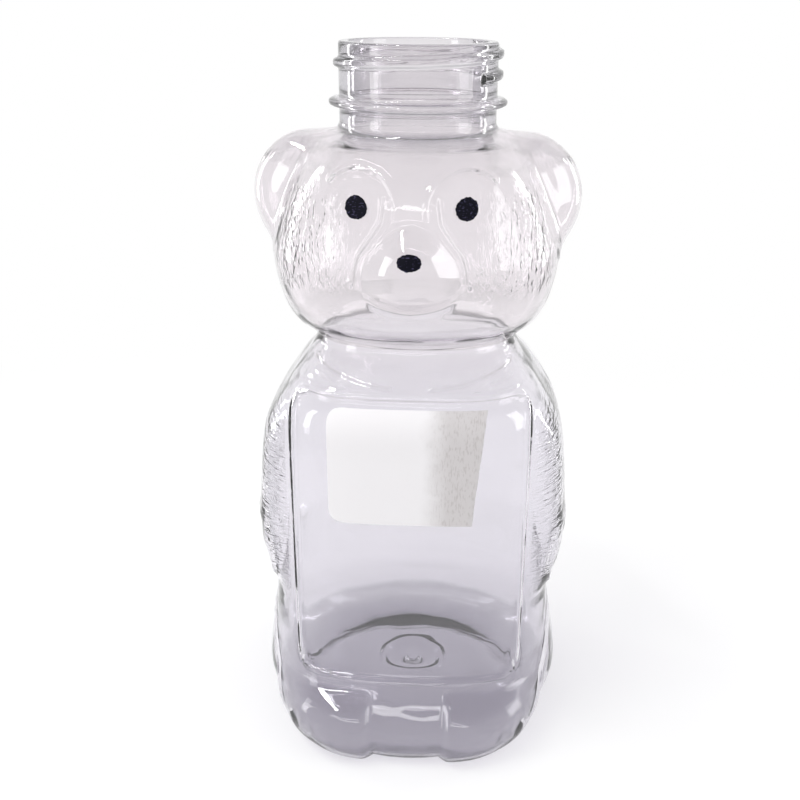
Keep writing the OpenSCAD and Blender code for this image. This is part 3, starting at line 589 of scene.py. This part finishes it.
# Painted shade: the right third of the paper is painted grey, fading in softly; its fibres show as specks there.
painted_shade_side = (px + paper.noise(place, 220, 2.0) * 0.004 - 0.002).band(0.002, 0.0095)
speck = long_fibre.band(0.5, 0.68) * painted_shade_side
white = (0.9, 0.882, 0.9, 1)
painted_shade_grey = (0.56, 0.53, 0.53, 1)
tone = paper.node("ShaderNodeMix", {"data_type": "RGBA"}, {0: painted_shade_side * 0.72 + speck * 0.3, 6: white, 7: painted_shade_grey}, out=2)
relief = fibre * 0.5 + long_fibre * 0.5
seal(paper, paper.node("ShaderNodeBsdfPrincipled", {}, {
    "Base Color": tone, "Roughness": 0.85 + painted_shade_side * 0.08, "Normal": paper.node(
        "ShaderNodeBump", {}, {"Strength": 0.35, "Distance": 0.0001, "Height": relief})}))
label = sheet("blank_label", *label_grid(0, tear), 0.15, 0.31, paper.owner)
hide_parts("paper_label")

# ---------------------------------------------------------------------------------------------
# Floor: a pale table top, which shows white and keeps the bottle's shadow.
bpy.ops.object.select_all(action="DESELECT")
bpy.ops.mesh.primitive_plane_add(size=60, location=(0, 0, -0.0001))
floor = bpy.context.object
floor.name = "table_top"
table = Finish(bpy.data.materials.new("white_table"))
path = table.node("ShaderNodeLightPath").socket.node
seen = Wire(table, path.outputs["Is Camera Ray"]).maths("MAXIMUM", Wire(table, path.outputs["Is Camera Ray"]), Wire(
    table, path.outputs["Is Glossy Ray"]))
seen = seen.maths("MAXIMUM", seen, Wire(table, path.outputs["Is Transmission Ray"]))
cloth = table.node("ShaderNodeBsdfDiffuse", {}, {"Color": (0.73, 0.73, 0.73, 1)})
glow = table.node("ShaderNodeEmission", {}, {"Color": (0.24, 0.24, 0.24, 1)})
near = table.node("ShaderNodeAddShader", {}, {0: cloth, 1: glow})
far = table.node("ShaderNodeEmission", {}, {"Color": (1, 1, 1, 1)})
reach = table.node("ShaderNodeVectorMath", {"operation": "LENGTH"}, {0: table.node("ShaderNodeTexCoord", out="Object")}, out=1)
lit = table.node("ShaderNodeMixShader", {}, {0: reach.band(0.12, 0.32), 1: near, 2: far})
seal(table, table.node("ShaderNodeMixShader", {}, {0: seen, 1: cloth, 2: lit}))
floor.data.materials.append(table.owner)

# ---------------------------------------------------------------------------------------------
# Light: a pale room that is white at the horizon and greyer overhead, and three soft boxes.
world = Finish(bpy.data.worlds.new("studio"))
bpy.context.scene.world = world.owner
path = world.node("ShaderNodeLightPath").socket.node
seen = world.node("ShaderNodeMath", {"operation": "MAXIMUM"}, {
    0: Wire(world, path.outputs["Is Camera Ray"]), 1: Wire(world, path.outputs["Is Glossy Ray"])})
seen = seen.maths("MAXIMUM", seen, Wire(world, path.outputs["Is Transmission Ray"]))
height = Wire(world, world.node("ShaderNodeSeparateXYZ", {}, {
    0: world.node("ShaderNodeTexCoord", out="Generated")}).socket.node.outputs[2])
sky = height.band(0.95, 0.35) * 0.6 + 0.4
strength = world.node("ShaderNodeMix", {"data_type": "FLOAT"}, {0: seen, 2: 0.68, 3: sky}, out=0)
glow = world.node("ShaderNodeBackground", {}, {"Color": (1, 1, 1, 1), "Strength": strength})
output = world.tree.nodes.new("ShaderNodeOutputWorld")
world.tree.links.new(glow.socket, output.inputs["Surface"])

for name, spot, aim, size, watts in (
        ("left_strip", (-0.44, -0.23, 0.22), (0, 0, 0.08), (0.12, 0.36), 0.45),
        ("right_strip", (0.48, -0.14, 0.24), (0, 0, 0.09), (0.22, 0.36), 0.6),
        ("left_rim", (-0.45, 0.2, 0.2), (0, 0, 0.08), (0.05, 0.36), 0.4),
        ("right_rim", (0.45, 0.22, 0.2), (0, 0, 0.08), (0.05, 0.36), 0.4),
        ("front_strip", (-0.1, -0.55, 0.42), (0, 0, 0.08), (0.5, 0.03), 0.25),
        ("top_strip", (-0.3, -0.14, 0.68), (0, 0.02, 0.04), (0.42, 0.03), 1.6)):
    lamp = bpy.data.lights.new(name, "AREA")
    lamp.shape, lamp.size, lamp.size_y, lamp.energy = "RECTANGLE", *size, watts
    box = bpy.data.objects.new(name, lamp)
    box.location = spot
    box.rotation_euler = (Vector(aim) - Vector(spot)).to_track_quat("-Z", "Y").to_euler()
    bpy.context.scene.collection.objects.link(box)

# ---------------------------------------------------------------------------------------------
# Camera: at the photograph's place, 24 degrees over the horizon.
TILT, TURN, ROLL = math.radians(24), math.radians(2.5), math.radians(0.53)
forward = Vector((-math.sin(TURN) * math.cos(TILT), math.cos(TURN) * math.cos(TILT), -math.sin(TILT)))
right = Vector((math.cos(TURN), math.sin(TURN), 0))
up = right.cross(forward)
right, up = right * math.cos(ROLL) + up * math.sin(ROLL), up * math.cos(ROLL) - right * math.sin(ROLL)
lens = bpy.data.cameras.new("camera")
lens.sensor_width, lens.lens = 36, 1001.8 / 800 * 36
lens.shift_x, lens.shift_y = -15.0 / 800, 34.6 / 800
lens.clip_start = 0.01
camera = bpy.data.objects.new("camera", lens)
turn = Matrix((right, up, -forward)).transposed()
spot = Vector((231.8 * math.sin(TURN), AXIS_Y - 231.8 * math.cos(TURN), 174.7)) * MM
camera.matrix_world = Matrix.Translation(spot) @ turn.to_4x4()
bpy.context.scene.collection.objects.link(camera)
bpy.context.scene.camera = camera
bpy.context.scene.view_settings.view_transform = "Standard"
